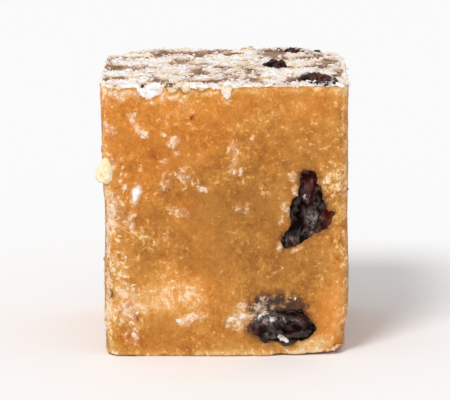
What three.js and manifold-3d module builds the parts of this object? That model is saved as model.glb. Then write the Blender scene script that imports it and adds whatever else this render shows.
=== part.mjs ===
// Raisin fudge cube: a block cut by hand from a slab, with raisins set in its faces.
// Millimetres, +Z up. The foot lies on z = 0 and the Z axis runs through the middle.
// The front face looks along -Y, and the sugared face of the slab is the top.

import * as THREE from 'three';
import { mergeVertices } from 'three/addons/utils/BufferGeometryUtils.js';
import Module from 'manifold-3d';

const width = 27.5; // along X, across the front face
const depth = 24.5; // along Y
const height = 30.5; // along Z, the thickness of the slab

const cornerRadius = 1.5; // upright edges, softened as the knife drags through
const rimRadius = 0.7; // edge of the top
const footRadius = 0.45; // edge of the foot
const footTaper = 0.025; // share by which the foot is narrower than the top

const swellHeight = 0.13; // how far the cut faces wander from flat
const broadWave = 0.21; // radians for each millimetre along a face
const narrowWave = 0.4;

const arcSteps = 3; // grid lines over each rounded edge
const flatSteps = { x: 10, y: 9, z: 10 }; // grid lines over each flat stretch

const socketGap = 0.3; // free space between a raisin and the fudge round it
const wallGap = 0.35; // the same at the socket's wall
const socketMouth = 2.5; // how far the cut for a socket reaches out past the face
const sink = 0.25; // how far a raisin's widest ring lies under the surface
const rimPoints = 24; // points round a raisin
const domeSlopes = [58, 26]; // degrees of each ring above the widest one
const bowlSlopes = [28, 52, 74]; // degrees of each ring below it
const wrinkleDepth = 0.07; // share of a raisin's rise
const wrinkleTurn = 2.4; // radians from one point of a ring to the next
const lumpShares = { broad: 0.09, narrow: 0.05 }; // of an oval raisin's size

const halfX = width / 2;
const halfY = depth / 2;
const faceNormal = new THREE.Vector3(0, 0, 1); // in a raisin's own frame

const fudgeMaterial = new THREE.MeshStandardMaterial({ color: '#c5833f', roughness: 0.6, metalness: 0 });
const raisinMaterial = new THREE.MeshStandardMaterial({ color: '#3a2218', roughness: 0.35, metalness: 0 });

// Outlines of the two cut raisins, as [across, up] points round the middle, anticlockwise.
const tornOutline = [
  [0.9, 4.2], [-0.6, 4.1], [-0.8, 2.9], [-0.9, 1.6], [-1.7, 0.6], [-1.9, -0.6], [-1.7, -2.4],
  [-2.8, -3.5], [-2.1, -4.7], [-0.4, -4.1], [0.6, -3.3], [1.7, -2.7], [2.6, -2.0],
  [3.2, -0.4], [2.0, -0.3], [1.9, 0.9], [1.4, 2.7],
];
const raggedOutline = [
  [0.5, 1.8], [-1.1, 1.9], [-2.2, 1.6], [-3.4, 0.7], [-3.8, -0.3], [-3.3, -1.1], [-2.5, -1.9],
  [-0.5, -1.9], [0.7, -2.4], [1.5, -1.8], [3.2, -1.4], [3.6, -0.2], [2.8, 1.1], [1.8, 1.9],
];

// Each raisin: its face, its middle on that face as [across, up], and its form. An oval
// is [broad, long], turned by so many degrees. It stands proud of the face and goes deep.
const raisins = [
  { name: 'front_upper', face: 'front', at: [9.0, 16.9], outline: tornOutline, proud: 0.3, deep: 3.4 },
  { name: 'front_lower', face: 'front', at: [6.5, 3.4], outline: raggedOutline, proud: 0.3, deep: 3.2 },
  { name: 'top_middle', face: 'top', at: [5.9, 0.0], oval: [3.0, 3.7], turn: -14, proud: 0.6, deep: 2.2 },
  { name: 'top_front', face: 'top', at: [10.2, -8.6], oval: [4.4, 5.2], turn: 20, proud: 0.7, deep: 2.6 },
  { name: 'top_back', face: 'top', at: [8.5, 9.8], oval: [2.9, 2.3], turn: 8, proud: 0.3, deep: 2.0 },
  { name: 'right', face: 'right', at: [2.8, 9.4], oval: [4.6, 7.2], turn: 24, proud: 0.3, deep: 3.0 },
  { name: 'left', face: 'left', at: [3.6, 19.8], oval: [4.4, 7.6], turn: -32, proud: 0.3, deep: 3.0 },
  { name: 'back_upper', face: 'back', at: [-5.4, 21.0], oval: [5.0, 7.8], turn: 38, proud: 0.3, deep: 3.2 },
  { name: 'back_lower', face: 'back', at: [5.8, 7.6], oval: [7.4, 4.6], turn: 10, proud: 0.3, deep: 3.2 },
  { name: 'foot', face: 'foot', at: [-4.6, 3.2], oval: [4.8, 7.0], turn: 50, proud: -0.15, deep: 2.8 },
];

// Each face: the point of the sharp block at (across, up), and its axes.
const faces = {
  front: { point: (a, u) => [a, -halfY, u], across: [1, 0, 0], up: [0, 0, 1], out: [0, -1, 0] },
  back: { point: (a, u) => [-a, halfY, u], across: [-1, 0, 0], up: [0, 0, 1], out: [0, 1, 0] },
  right: { point: (a, u) => [halfX, a, u], across: [0, 1, 0], up: [0, 0, 1], out: [1, 0, 0] },
  left: { point: (a, u) => [-halfX, -a, u], across: [0, -1, 0], up: [0, 0, 1], out: [-1, 0, 0] },
  top: { point: (a, u) => [a, u, height], across: [1, 0, 0], up: [0, 1, 0], out: [0, 0, 1] },
  foot: { point: (a, u) => [a, -u, 0], across: [1, 0, 0], up: [0, -1, 0], out: [0, 0, -1] },
};
const wavePhase = { front: 4.4, back: 1.8, right: 0.7, left: 2.9, top: 5.3 };

// How far a cut face swells or dips at (s, t) on it, with narrower waves half as high.
function swell(s, t, phase) {
  const broad = Math.sin(broadWave * s + phase) * Math.cos(broadWave * t + 2 * phase);
  const narrow = Math.sin(narrowWave * (s - t) + 3 * phase);
  return swellHeight * (broad + narrow / 2);
}

// Grid lines from 0 to length, close together over the rounded edge at each end.
function gridLines(length, radiusLow, radiusHigh, flat) {
  const arc = (radius) => Array.from(
    { length: arcSteps },
    (_, k) => radius * (1 - Math.tan((Math.PI / 4) * (1 - k / arcSteps))),
  );
  const middle = length - radiusLow - radiusHigh;
  const flats = Array.from({ length: flat + 1 }, (_, k) => radiusLow + (middle * k) / flat);
  return [...arc(radiusLow), ...flats, ...arc(radiusHigh).reverse().map((d) => length - d)];
}

// Rounds the sharp block: first its upright corners, then its rim and its foot.
function rounded([x, y, z]) {
  const inner = new THREE.Vector2(
    THREE.MathUtils.clamp(x, cornerRadius - halfX, halfX - cornerRadius),
    THREE.MathUtils.clamp(y, cornerRadius - halfY, halfY - cornerRadius),
  );
  const out = new THREE.Vector2(x, y).sub(inner);
  const atTop = z > height / 2;
  const radius = atTop ? rimRadius : footRadius;
  let fromSide = cornerRadius - Math.max(Math.abs(out.x), Math.abs(out.y));
  let fromEnd = atTop ? height - z : z;
  if (fromSide < radius && fromEnd < radius) {
    const edge = new THREE.Vector2(radius - fromSide, radius - fromEnd);
    edge.setLength(Math.max(edge.x, edge.y));
    fromSide = radius - edge.x;
    fromEnd = radius - edge.y;
  }
  out.setLength(cornerRadius - fromSide).add(inner);
  return [out.x, out.y, atTop ? height - fromEnd : fromEnd];
}

// A point of the sharp block, moved to where it lies on the real one.
function shaped(point) {
  const [x, y, z] = rounded(point);
  const narrow = 1 - footTaper * (1 - z / height);
  const phaseX = x > 0 ? wavePhase.right : wavePhase.left;
  const phaseY = y > 0 ? wavePhase.back : wavePhase.front;
  return new THREE.Vector3(
    x * narrow + (x / halfX) * swell(y, z, phaseX),
    y * narrow + (y / halfY) * swell(x, z, phaseY),
    z + (z / height) * swell(x, y, wavePhase.top),
  );
}

function blockGeometry() {
  const lines = {
    x: gridLines(width, cornerRadius, cornerRadius, flatSteps.x).map((d) => d - halfX),
    y: gridLines(depth, cornerRadius, cornerRadius, flatSteps.y).map((d) => d - halfY),
    z: gridLines(height, footRadius, rimRadius, flatSteps.z),
  };
  const steps = { x: lines.x.length - 1, y: lines.y.length - 1, z: lines.z.length - 1 };
  const geometry = new THREE.BoxGeometry(steps.x, steps.y, steps.z, steps.x, steps.y, steps.z);
  const position = geometry.getAttribute('position');
  const line = (axis, value) => lines[axis][Math.round(value + steps[axis] / 2)];
  for (let i = 0; i < position.count; i++) {
    const sharp = [line('x', position.getX(i)), line('y', position.getY(i)), line('z', position.getZ(i))];
    position.setXYZ(i, ...shaped(sharp));
  }
  return geometry;
}

function centreOf(points) {
  return points.reduce((sum, p) => sum.add(p), new THREE.Vector3()).divideScalar(points.length);
}

// The points round a raisin in its face's frame, on a smooth closed curve.
function outlineOf({ outline, oval, turn }) {
  if (outline) {
    const knots = outline.map(([a, u]) => new THREE.Vector3(a, u, 0));
    return new THREE.CatmullRomCurve3(knots, true).getSpacedPoints(rimPoints).slice(0, rimPoints);
  }
  const [broad, long] = oval;
  const phase = broad * long; // no two ovals have the same lumps
  const tilt = THREE.MathUtils.degToRad(turn);
  return Array.from({ length: rimPoints }, (_, k) => {
    const angle = (2 * Math.PI * k) / rimPoints;
    const broadLump = lumpShares.broad * Math.sin(3 * angle + phase);
    const narrowLump = lumpShares.narrow * Math.sin(5 * angle - phase);
    const point = new THREE.Vector3((broad / 2) * Math.cos(angle), (long / 2) * Math.sin(angle), 0);
    return point.multiplyScalar(1 + broadLump + narrowLump).applyAxisAngle(faceNormal, tilt);
  });
}

// A ring at a slope in degrees: 0 at the widest place, 90 at a pole.
function ringAt(points, degrees, rise) {
  const slope = THREE.MathUtils.degToRad(degrees);
  const centre = centreOf(points);
  return points.map((point, k) => {
    const wrinkle = 1 + wrinkleDepth * Math.sin(wrinkleTurn * k + degrees);
    const spot = point.clone().sub(centre).multiplyScalar(Math.cos(slope)).add(centre);
    return spot.setZ(rise * Math.sin(slope) * wrinkle - sink);
  });
}

// A closed body from rings of points, outermost first, with a pole at each end.
function ringedGeometry(outerPole, rings, innerPole) {
  const points = [outerPole, ...rings.flat(), innerPole];
  const last = points.length - 1;
  const lastRing = last - rimPoints;
  const index = [];
  for (let k = 0; k < rimPoints; k++) {
    const next = (k + 1) % rimPoints;
    index.push(0, 1 + k, 1 + next);
    for (let here = 1; here < lastRing; here += rimPoints) {
      const below = here + rimPoints;
      index.push(here + k, below + k, below + next, here + k, below + next, here + next);
    }
    index.push(lastRing + k, last, lastRing + next);
  }
  return new THREE.BufferGeometry().setFromPoints(points).setIndex(index);
}

function raisinGeometry(raisin) {
  const points = outlineOf(raisin);
  const dome = raisin.proud + sink;
  const rings = [
    ...domeSlopes.map((slope) => ringAt(points, slope, dome)),
    ringAt(points, 0, 0),
    ...bowlSlopes.map((slope) => ringAt(points, slope, -raisin.deep)),
  ];
  const centre = centreOf(points);
  return ringedGeometry(centre.clone().setZ(raisin.proud), rings, centre.clone().setZ(-raisin.deep - sink));
}

// The space cut for a raisin: a bowl with a gap all round, open to the outside.
function socketGeometry(raisin) {
  const outline = outlineOf(raisin);
  const points = outline.map((point, k) => {
    const before = outline[(k + rimPoints - 1) % rimPoints];
    const after = outline[(k + 1) % rimPoints];
    const outward = after.clone().sub(before).cross(faceNormal).setLength(wallGap);
    return outward.add(point);
  });
  const centre = centreOf(points);
  const wallAt = (z) => points.map((point) => point.clone().setZ(z));
  const deep = raisin.deep * (1 + wrinkleDepth) + socketGap;
  const rings = [
    wallAt(socketMouth), wallAt(-sink),
    ...bowlSlopes.map((slope) => ringAt(points, slope, -deep)),
  ];
  return ringedGeometry(centre.clone().setZ(socketMouth), rings, centre.clone().setZ(-deep - sink));
}

// Moves and turns an object from a raisin's frame to its place on the block.
function place(object, { face, at }) {
  const { point, across, up, out } = faces[face];
  const axes = [across, up, out].map((axis) => new THREE.Vector3(...axis));
  object.quaternion.setFromRotationMatrix(new THREE.Matrix4().makeBasis(...axes));
  object.position.copy(shaped(point(...at)));
  object.updateMatrix();
  return object;
}

const wasm = await Module();
wasm.setup();

function solidOf(geometry) {
  const bare = new THREE.BufferGeometry();
  bare.setAttribute('position', geometry.getAttribute('position'));
  bare.setIndex(geometry.index);
  const merged = mergeVertices(bare, 1e-4);
  return new wasm.Manifold(new wasm.Mesh({
    numProp: 3,
    vertProperties: new Float32Array(merged.getAttribute('position').array),
    triVerts: new Uint32Array(merged.index.array),
  }));
}

function geometryOf(solid) {
  const { vertProperties, triVerts } = solid.getMesh();
  const geometry = new THREE.BufferGeometry();
  geometry.setAttribute('position', new THREE.BufferAttribute(vertProperties, 3));
  return geometry.setIndex(new THREE.BufferAttribute(triVerts, 1));
}

function namedMesh(name, geometry, material) {
  geometry.computeVertexNormals();
  const mesh = new THREE.Mesh(geometry, material);
  mesh.name = name;
  return mesh;
}

// The block with a socket cut for every raisin.
function fudgeMesh() {
  const sockets = raisins.map((raisin) => {
    const frame = place(new THREE.Object3D(), raisin);
    return solidOf(socketGeometry(raisin).applyMatrix4(frame.matrix));
  });
  const cut = sockets.reduce((solid, socket) => solid.subtract(socket), solidOf(blockGeometry()));
  return namedMesh('fudge', geometryOf(cut), fudgeMaterial);
}

function raisinMesh(raisin) {
  return place(namedMesh(`raisin_${raisin.name}`, raisinGeometry(raisin), raisinMaterial), raisin);
}

const cube = new THREE.Group();
cube.add(fudgeMesh(), ...raisins.map(raisinMesh));

// The middle of the whole goes on the Z axis.
const middle = new THREE.Box3().setFromObject(cube).getCenter(new THREE.Vector3());
cube.position.set(-middle.x, -middle.y, 0);

export default cube;
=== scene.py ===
# Looks of the raisin fudge cube, in metres. The front looks along -Y and the sugared top along +Z.
import math

import bmesh
import bpy
import numpy as np
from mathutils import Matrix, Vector, noise


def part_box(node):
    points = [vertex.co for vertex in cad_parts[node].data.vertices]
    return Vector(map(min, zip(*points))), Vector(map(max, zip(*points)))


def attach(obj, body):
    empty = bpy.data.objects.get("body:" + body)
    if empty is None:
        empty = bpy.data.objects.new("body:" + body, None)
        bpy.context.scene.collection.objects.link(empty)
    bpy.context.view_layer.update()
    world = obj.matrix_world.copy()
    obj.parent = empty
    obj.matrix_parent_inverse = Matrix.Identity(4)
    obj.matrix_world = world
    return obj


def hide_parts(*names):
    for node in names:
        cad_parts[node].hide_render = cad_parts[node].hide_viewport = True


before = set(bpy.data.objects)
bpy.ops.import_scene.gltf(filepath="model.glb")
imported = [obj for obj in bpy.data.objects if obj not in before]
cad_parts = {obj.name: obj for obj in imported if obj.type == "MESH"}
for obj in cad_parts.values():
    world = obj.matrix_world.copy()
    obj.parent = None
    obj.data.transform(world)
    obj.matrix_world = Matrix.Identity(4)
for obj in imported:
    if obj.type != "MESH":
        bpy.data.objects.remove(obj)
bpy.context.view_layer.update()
mm = 0.001
dice = np.random.default_rng(7)

# each face: the way out of it and the way across it
faces = {
    "front": ((0, -1, 0), (1, 0, 0)), "back": ((0, 1, 0), (-1, 0, 0)), "right": ((1, 0, 0), (0, 1, 0)),
    "left": ((-1, 0, 0), (0, -1, 0)), "top": ((0, 0, 1), (1, 0, 0)), "foot": ((0, 0, -1), (1, 0, 0)),
}
for name, (out, across) in faces.items():
    faces[name] = {"out": np.array(out), "across": np.array(across), "up": np.cross(out, across)}
cutFaces = ("front", "back", "right", "left")
square = ((-1, -1), (1, -1), (1, 1), (-1, 1))


def grain(points, size, seed, octaves=3):
    # rough noise at each point, about -1 to 1; size is the broadest bump in metres
    shift = Vector((seed * 7.3, seed * 1.9, seed * 4.1))
    return np.array([noise.fractal(Vector(p) / size + shift, 0.8, 2.1, octaves) for p in points])


def ease(value, low, high):
    # 0 below low, 1 above high, smooth between
    share = np.clip((value - low) / (high - low), 0, 1)
    return share * share * (3 - 2 * share)


def apart(points, place=0):
    return np.linalg.norm(points - place, axis=1)


def bell(distance, width):
    return np.exp(-(distance / width) ** 2)


def blot(flat, x, y, wide, high):
    # 1 at a place on a face, fading over its half width and half height in mm
    return bell(flat[:, 0] / mm - x, wide) * bell(flat[:, 1] / mm - y, high)


def put(name, data):
    made = bpy.data.objects.new(name, data)
    bpy.context.scene.collection.objects.link(made)
    return made


def newPiece(name, points, polygons, material, smooth=True):
    mesh = bpy.data.meshes.new(name)
    mesh.from_pydata(points.tolist(), [], polygons)
    mesh.polygons.foreach_set("use_smooth", [smooth] * len(mesh.polygons))
    mesh.materials.append(material)
    piece = put(name, mesh)
    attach(piece, "root")
    return piece


def stackedSides(around, rings):
    # sides that join rings of points one above another, closed at both ends
    ids = np.arange(rings * around).reshape(rings, around)
    after = np.roll(ids, -1, 1)
    sides = np.stack([ids, after, after + around, ids + around], -1).reshape(-1, 4).tolist()
    return sides + [list(range(around))[::-1], list(range(rings * around, (rings + 1) * around))]


def addValues(piece, name, values):
    layer = piece.data.attributes.new(name, "FLOAT", "POINT")
    layer.data.foreach_set("value", np.asarray(values, np.float32))


def feed(made, inputs):
    # links or sets a node's sockets, by their names or numbers
    for key, value in inputs.items():
        if isinstance(value, bpy.types.NodeSocket):
            made.id_data.links.new(value, made.inputs[key])
        else:
            made.inputs[key].default_value = value


def node(near, kind, inputs, **settings):
    # a new node in the tree of a node or socket that is there already
    made = near.id_data.nodes.new(kind)
    for key, value in settings.items():
        setattr(made, key, value)
    feed(made, inputs)
    return made


def sums(operation, *values):
    return node(values[0], "ShaderNodeMath", dict(enumerate(values)), operation=operation).outputs[0]


def product(first, second):
    return sums("MULTIPLY", first, second)


def total(start, *parts):
    # start plus each value times its share
    for value, share in parts:
        start = sums("MULTIPLY_ADD", value, share, start)
    return start


def stepped(value, low, high, toLow=0.0, toHigh=1.0):
    inputs = {0: value, 1: low, 2: high, 3: toLow, 4: toHigh}
    return node(value, "ShaderNodeMapRange", inputs, interpolation_type="SMOOTHSTEP").outputs[0]


def tint(hexCode):
    # a screen colour such as "c27d3a" as linear light
    parts = [int(hexCode[k:k + 2], 16) / 255 for k in (0, 2, 4)]
    return [p / 12.92 if p <= 0.04045 else ((p + 0.055) / 1.055) ** 2.4 for p in parts] + [1]


def mixed(factor, first, second):
    # colours are sockets or codes
    first, second = (tint(colour) if isinstance(colour, str) else colour for colour in (first, second))
    return node(factor, "ShaderNodeMix", {0: factor, 6: first, 7: second}, data_type="RGBA").outputs[2]


def ramp(value, stops):
    # colours from dark to light at their places between 0 and 1
    made = node(value, "ShaderNodeValToRGB", {0: value})
    marks = made.color_ramp.elements
    marks[0].position, marks[1].position = stops[0][0], stops[-1][0]
    marks[0].color, marks[1].color = tint(stops[0][1]), tint(stops[-1][1])
    for place, code in stops[1:-1]:
        marks.new(place).color = tint(code)
    return made.outputs[0]


def speckle(place, size, detail=3.0, roughness=0.6):
    # noise whose broadest blotch is about size metres across
    inputs = {"Vector": place, "Scale": 1 / size, "Detail": detail, "Roughness": roughness}
    return node(place, "ShaderNodeTexNoise", inputs).outputs[0]


def startMaterial(name):
    material = bpy.data.materials.new(name)
    material.use_nodes = True
    shader = material.node_tree.nodes["Principled BSDF"]
    return material, shader, node(shader, "ShaderNodeTexCoord", {}).outputs["Object"]


def attribute(near, name):
    return node(near, "ShaderNodeAttribute", {}, attribute_name=name).outputs["Fac"]


def bump(height, strength, distance):
    inputs = {"Strength": strength, "Distance": distance, "Height": height}
    return node(height, "ShaderNodeBump", inputs).outputs[0]


def glow(weight, radius, scale):
    # how much light travels under the surface, and how far in red, green and blue
    return {"Subsurface Weight": weight, "Subsurface Radius": radius, "Subsurface Scale": scale}


# colours of the fudge from its darkest grains to bare sugar, in its brown and in its orange parts
fudgeLooks = {
    "brown": [(0, "75400f"), (0.2, "99601d"), (0.42, "b4762b"), (0.6, "c78b3d"), (0.74, "dba459"),
              (0.87, "e9bd80"), (1, "f6dab2")],
    "orange": [(0, "843f0e"), (0.2, "ab5d17"), (0.42, "c87823"), (0.6, "da8c34"), (0.74, "e69f51"),
               (0.87, "eeb77c"), (1, "f8d9b2")],
    "grain": 2.4 * mm,
    "calm": 1.5,  # contrast of the grain where the cut is smooth
    "busy": 1.5,  # what a grainy place adds to it
    "granule": "f5d3b0",
    "fleck": 0.55 * mm,
    # the darkest crack colour is a painted shadow in the cracks of the crust
    "crackShadow": "75574a",
    "crackBrown": "b0845a",
    "creamPink": "d3b6a9",
    "creamYellow": "eccd9c",
    "paleCream": "f3e2d8",
    "haze": "e8b48a",
    "core": "f8e2cc",
    "white": "ffffff",
    "stain": "422d23",
    "speck": "4a2815",
    "speckCell": 3.1 * mm,
    "crystal": 0.32 * mm,
}


def makeFudge():
    look = fudgeLooks
    material, shader, place = startMaterial("caramelFudge")
    rough = speckle(place, look["grain"], 5, 0.95)
    fleck = speckle(place, look["fleck"], 1.5, 0.6)
    other = speckle(place, 1.1 * mm, 4, 0.75)
    tiny = speckle(place, 0.17 * mm, 1)

    # how light each spot is: the broad tone, grains of every size, and paler flecks
    sugar, grainy, stain, crust = (attribute(place, key) for key in ("sugar", "grainy", "stain", "crust"))
    chance = total(-0.09, (fleck, 1.0), (grainy, 0.13), (other, 0.12))
    flecks = stepped(chance, 0.54, 0.72)
    granules = stepped(total(0, (other, 0.4), (fleck, 0.6), (sugar, 0.22)), 0.54, 0.76)
    granules = product(granules, stepped(sugar, 0, 0.4))
    contrast = total(look["calm"], (grainy, look["busy"]))
    light = total(0, (attribute(place, "tone"), 1.0), (total(-0.5, (rough, 1.0)), contrast),
                  (flecks, 0.27), (sugar, 0.14), (granules, 0.32), (stain, -0.22))
    hue = total(-0.5, (attribute(place, "warm"), 1.0), (other, 1.0))
    brown, orange = ramp(light, look["brown"]), ramp(light, look["orange"])
    body = mixed(stepped(hue, 0, 1), brown, orange)

    # sugar and stains over it: a thin haze, granules, thick cores of sugar, and dust on what is stained; the
    # same dark colour paints the shade round each raisin's rim
    hazy = product(stepped(sugar, 0.02, 0.8, 0, 0.6), stepped(other, 0.25, 0.6, 0.6, 1.05))
    body = mixed(hazy, body, look["haze"])
    body = mixed(product(granules, 0.5), body, look["granule"])
    thick = total(-1.65, (sugar, 0.8), (other, 1.6), (fleck, 0.6), (tiny, 0.3))
    body = mixed(stepped(thick, 0.05, 0.55, 0, 0.8), body, look["core"])
    stained = product(stepped(stain, 0, 1.2), stepped(fleck, 0.35, 0.65, 1.0, 0.4))
    body = mixed(stained, body, look["stain"])

    # the crust: cracks, half of them dark purple-brown painted shadow and half bare brown fudge, then cream
    # and white
    drawnOut = node(place, "ShaderNodeVectorMath", {0: place, 1: (0.8, 1, 1)}, operation="MULTIPLY")
    wide = speckle(drawnOut.outputs[0], 2.7 * mm, 5, 0.78)
    level = total(-1.62, (attribute(place, "cover"), 0.75), (wide, 3.0), (tiny, 0.12))
    tinge = stepped(total(0, (speckle(place, 3.4 * mm, 2), 1.0), (grainy, 0.25)), 0.44, 0.6)
    crack = mixed(stepped(other, 0.42, 0.58), look["crackShadow"], look["crackBrown"])
    cream = mixed(tinge, look["creamPink"], look["creamYellow"])
    top = mixed(stepped(level, -0.05, 0.4), crack, cream)
    top = mixed(stepped(level, 0.36, 0.68), top, look["paleCream"])
    top = mixed(stepped(level, 0.6, 0.95), top, look["white"])
    mask = stepped(total(-0.35, (crust, 1.0), (other, 0.7)), 0.35, 0.6)
    colour = mixed(mask, body, top)

    # a dark speck in a few of the cells
    specks = node(place, "ShaderNodeTexVoronoi", {"Vector": place, "Scale": 1 / look["speckCell"]})
    picked = node(place, "ShaderNodeSeparateColor", {0: specks.outputs["Color"]}).outputs[1]
    dot = product(stepped(specks.outputs["Distance"], 0.045, 0.085, 1, 0),
                  stepped(picked, 0.86, 0.88))
    colour = mixed(product(dot, 0.75), colour, look["speck"])

    # fine crystals, each with its own gloss, and duller on the crust
    cells = node(place, "ShaderNodeTexVoronoi", {"Vector": place, "Scale": 1 / look["crystal"]})
    gloss = node(place, "ShaderNodeSeparateColor", {0: cells.outputs["Color"]}).outputs[2]
    dull = sums("MAXIMUM", total(0.28, (gloss, 0.3)), product(mask, 0.62))
    bumps = total(0, (rough, 1.6), (fleck, 0.3), (flecks, 0.12), (granules, 0.3),
                  (cells.outputs["Distance"], -0.22), (product(mask, wide), 1.6))
    feed(shader, {"Base Color": colour, "Roughness": dull, "Specular IOR Level": 0.28,
                  "Normal": bump(bumps, 0.75, 0.16 * mm), **glow(0.22, (1.0, 0.45, 0.18), 0.6 * mm)})
    return material


raisinLooks = {
    # darker in the valleys of the folds: painted shade in the creases
    "fold": "0b0504",
    "skin": "24100b",
    "flesh": "4f170c",  # thin places that let light through
    # the grey is sugar dust, and on the upper front raisin a painted sheen on its middle
    "dustAndSheen": "a08f86",
    "sugar": "f6ece6",
}


def makeRaisin():
    look = raisinLooks
    material, shader, place = startMaterial("driedRaisin")
    blotch = speckle(place, 1.3 * mm, 3)
    fine = speckle(place, 0.4 * mm, 4, 0.75)
    # the valleys are darker than the ridges: painted shade in the creases
    colour = mixed(stepped(attribute(place, "ridge"), 0.1, 0.75), look["fold"], look["skin"])
    red = total(-0.1, (attribute(place, "red"), 1.0), (stepped(blotch, 0.5, 0.75), 0.6))
    colour = mixed(stepped(red, 0, 1), colour, look["flesh"])
    dustAndSheen = product(stepped(fine, 0.43, 0.63, 0.1, 1.1), attribute(place, "dustAndSheen"))
    colour = mixed(product(dustAndSheen, 0.75), colour, look["dustAndSheen"])
    spread = total(-0.5, (fine, 1.0), (attribute(place, "sugar"), 0.55))
    white = stepped(spread, 0.24, 0.36)
    colour = mixed(product(white, 0.92), colour, look["sugar"])
    dull = sums("MAXIMUM", stepped(blotch, 0.35, 0.65, 0.25, 0.6), product(white, 0.8))
    feed(shader, {"Base Color": colour, "Roughness": dull,
                  "Normal": bump(total(0, (fine, 1.0), (white, 0.5)), 0.6, 0.1 * mm),
                  "Specular IOR Level": stepped(attribute(place, "ridge"), 0.25, 0.95, 0.03, 0.5)})
    return material


def makeSugar():
    material, shader, place = startMaterial("sugarCrystal")
    cloud = speckle(place, 1.0 * mm, 4, 0.8)
    shade = total(-0.25, (attribute(place, "shade"), 0.6), (cloud, 0.9))
    colour = ramp(shade, [(0, "d8a066"), (0.25, "ebc395"), (0.5, "f5dfc8"), (0.7, "fdf5ee"), (1, "ffffff")])
    feed(shader, {"Base Color": colour, "Roughness": stepped(cloud, 0.3, 0.7, 0.25, 0.6),
                  "Specular IOR Level": 0.5, **glow(0.25, (1.0, 0.9, 0.8), 0.25 * mm)})
    return material


def makeCrumb():
    material, shader, place = startMaterial("fudgeCrumb")
    cloud = speckle(place, 0.9 * mm, 4, 0.8)
    shade = total(-0.35, (attribute(place, "shade"), 0.7), (cloud, 1.0))
    colour = ramp(shade, [(0, "b5782c"), (0.3, "d99a4a"), (0.6, "f2ca90"), (0.85, "fbedc9"), (1, "fffaf0")])
    feed(shader, {"Base Color": colour, "Roughness": stepped(cloud, 0.3, 0.7, 0.4, 0.7),
                  "Normal": bump(speckle(place, 0.3 * mm, 3), 0.5, 0.08 * mm),
                  "Specular IOR Level": 0.35, **glow(0.4, (1.0, 0.6, 0.3), 0.7 * mm)})
    return material


fudgeMaterial = makeFudge()
raisinMaterial = makeRaisin()
sugarMaterial = makeSugar()
crumbMaterial = makeCrumb()
print("materials made")

# the raisins, each named after its face first
raisinNames = ["raisin_" + place for place in (
    "front_upper", "front_lower", "top_middle", "top_front", "top_back", "right", "left", "back_upper",
    "back_lower", "foot")]
raisinShape = {
    "around": 140,  # points round a raisin
    "rings": 40,  # from its rim to its middle
    "ragged": 0.26 * mm,  # how far its rim is torn
    "raggedSize": 1.0 * mm,
    "sink": 0.25 * mm,  # depth of the widest ring in the solids
}


def readRim(mesh, face):
    # the widest ring of the solid is its only level one; its edges are followed round from the outer side
    points = np.array([v.co for v in mesh.vertices])
    level = points @ face["out"]
    values, counts = np.unique(np.round(level, 7), return_counts=True)
    height = values[counts.argmax()]
    onRing = np.abs(level - height) < 0.001 * mm
    spot = [tuple(np.round(p, 6)) for p in points]
    follows, where = {}, {}
    for polygon in mesh.polygons:
        ids = list(polygon.vertices)
        for a, b, c in zip(ids, ids[1:] + ids[:1], ids[2:] + ids[:2]):
            if onRing[a] and onRing[b] and level[c] > height:
                follows[spot[a]] = spot[b]
                where[spot[a]] = points[a]
    ring = [next(iter(follows))]
    while follows[ring[-1]] != ring[0]:
        ring.append(follows[ring[-1]])
    ring = np.array([where[key] for key in ring])
    return np.stack([ring @ face["across"], ring @ face["up"]], 1), height, level.max()


def alongLoop(loop, count):
    # that many points spaced evenly round a closed line
    closed = np.vstack([loop, loop[:1]])
    walked = np.concatenate([[0], np.cumsum(apart(np.diff(closed, axis=0)))])
    stops = np.linspace(0, walked[-1], count, endpoint=False)
    return np.stack([np.interp(stops, walked, closed[:, k]) for k in (0, 1)], 1)


# where a rim is pushed in or, below 0, drawn out: across, up, reach and how far, in mm
rimNotches = {
    "raisin_front_lower": [(9.8, 1.5, 0.8, 0.5), (9.4, 5, 0.6, 0.25), (2.9, 1.9, 0.8, 0.45),
                           (2.9, 4.4, 0.7, 0.3), (10.3, 3, 0.35, -0.25), (8.4, 5.5, 0.3, -0.2),
                           (7, 0.4, 0.4, -0.15)],
    "raisin_top_front": [(12.3, -8.8, 1.8, 0.6), (8, -8.8, 1.5, -0.2)],
    "raisin_top_middle": [(7.4, 0, 1.5, 0.25)],
}


def readRaisin(name, seed):
    onFace = name.split("_")[1]
    face = faces[onFace]
    loop, height, highest = readRim(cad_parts[name].data, face)
    middle = loop.mean(0)
    rim = alongLoop(loop, raisinShape["around"])
    for _ in range(2):
        rim = (np.roll(rim, 1, 0) + 2 * rim + np.roll(rim, -1, 0)) / 4
    way = np.roll(rim, -1, 0) - np.roll(rim, 1, 0)
    way /= apart(way)[:, None]
    torn = grain(np.column_stack([rim, 0 * rim[:, 0]]), raisinShape["raggedSize"], seed, 4)
    outer = np.stack([way[:, 1], -way[:, 0]], 1)
    outer *= np.sign(((rim - middle) * outer).sum())
    moved = raisinShape["ragged"] * torn
    for x, z, reach, depth in rimNotches.get(name, []):
        moved = moved - depth * mm * bell(apart(rim / mm, (x, z)), reach)
    rim = rim + moved[:, None] * outer
    return {
        "face": onFace, "middle": middle, "rim": rim,
        "along": np.linalg.svd(rim - rim.mean(0))[2][0],  # the way it is longest
        "proud": highest - height, "level": height + raisinShape["sink"],
    }


raisins = {name: readRaisin(name, seed) for seed, name in enumerate(raisinNames)}


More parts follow.
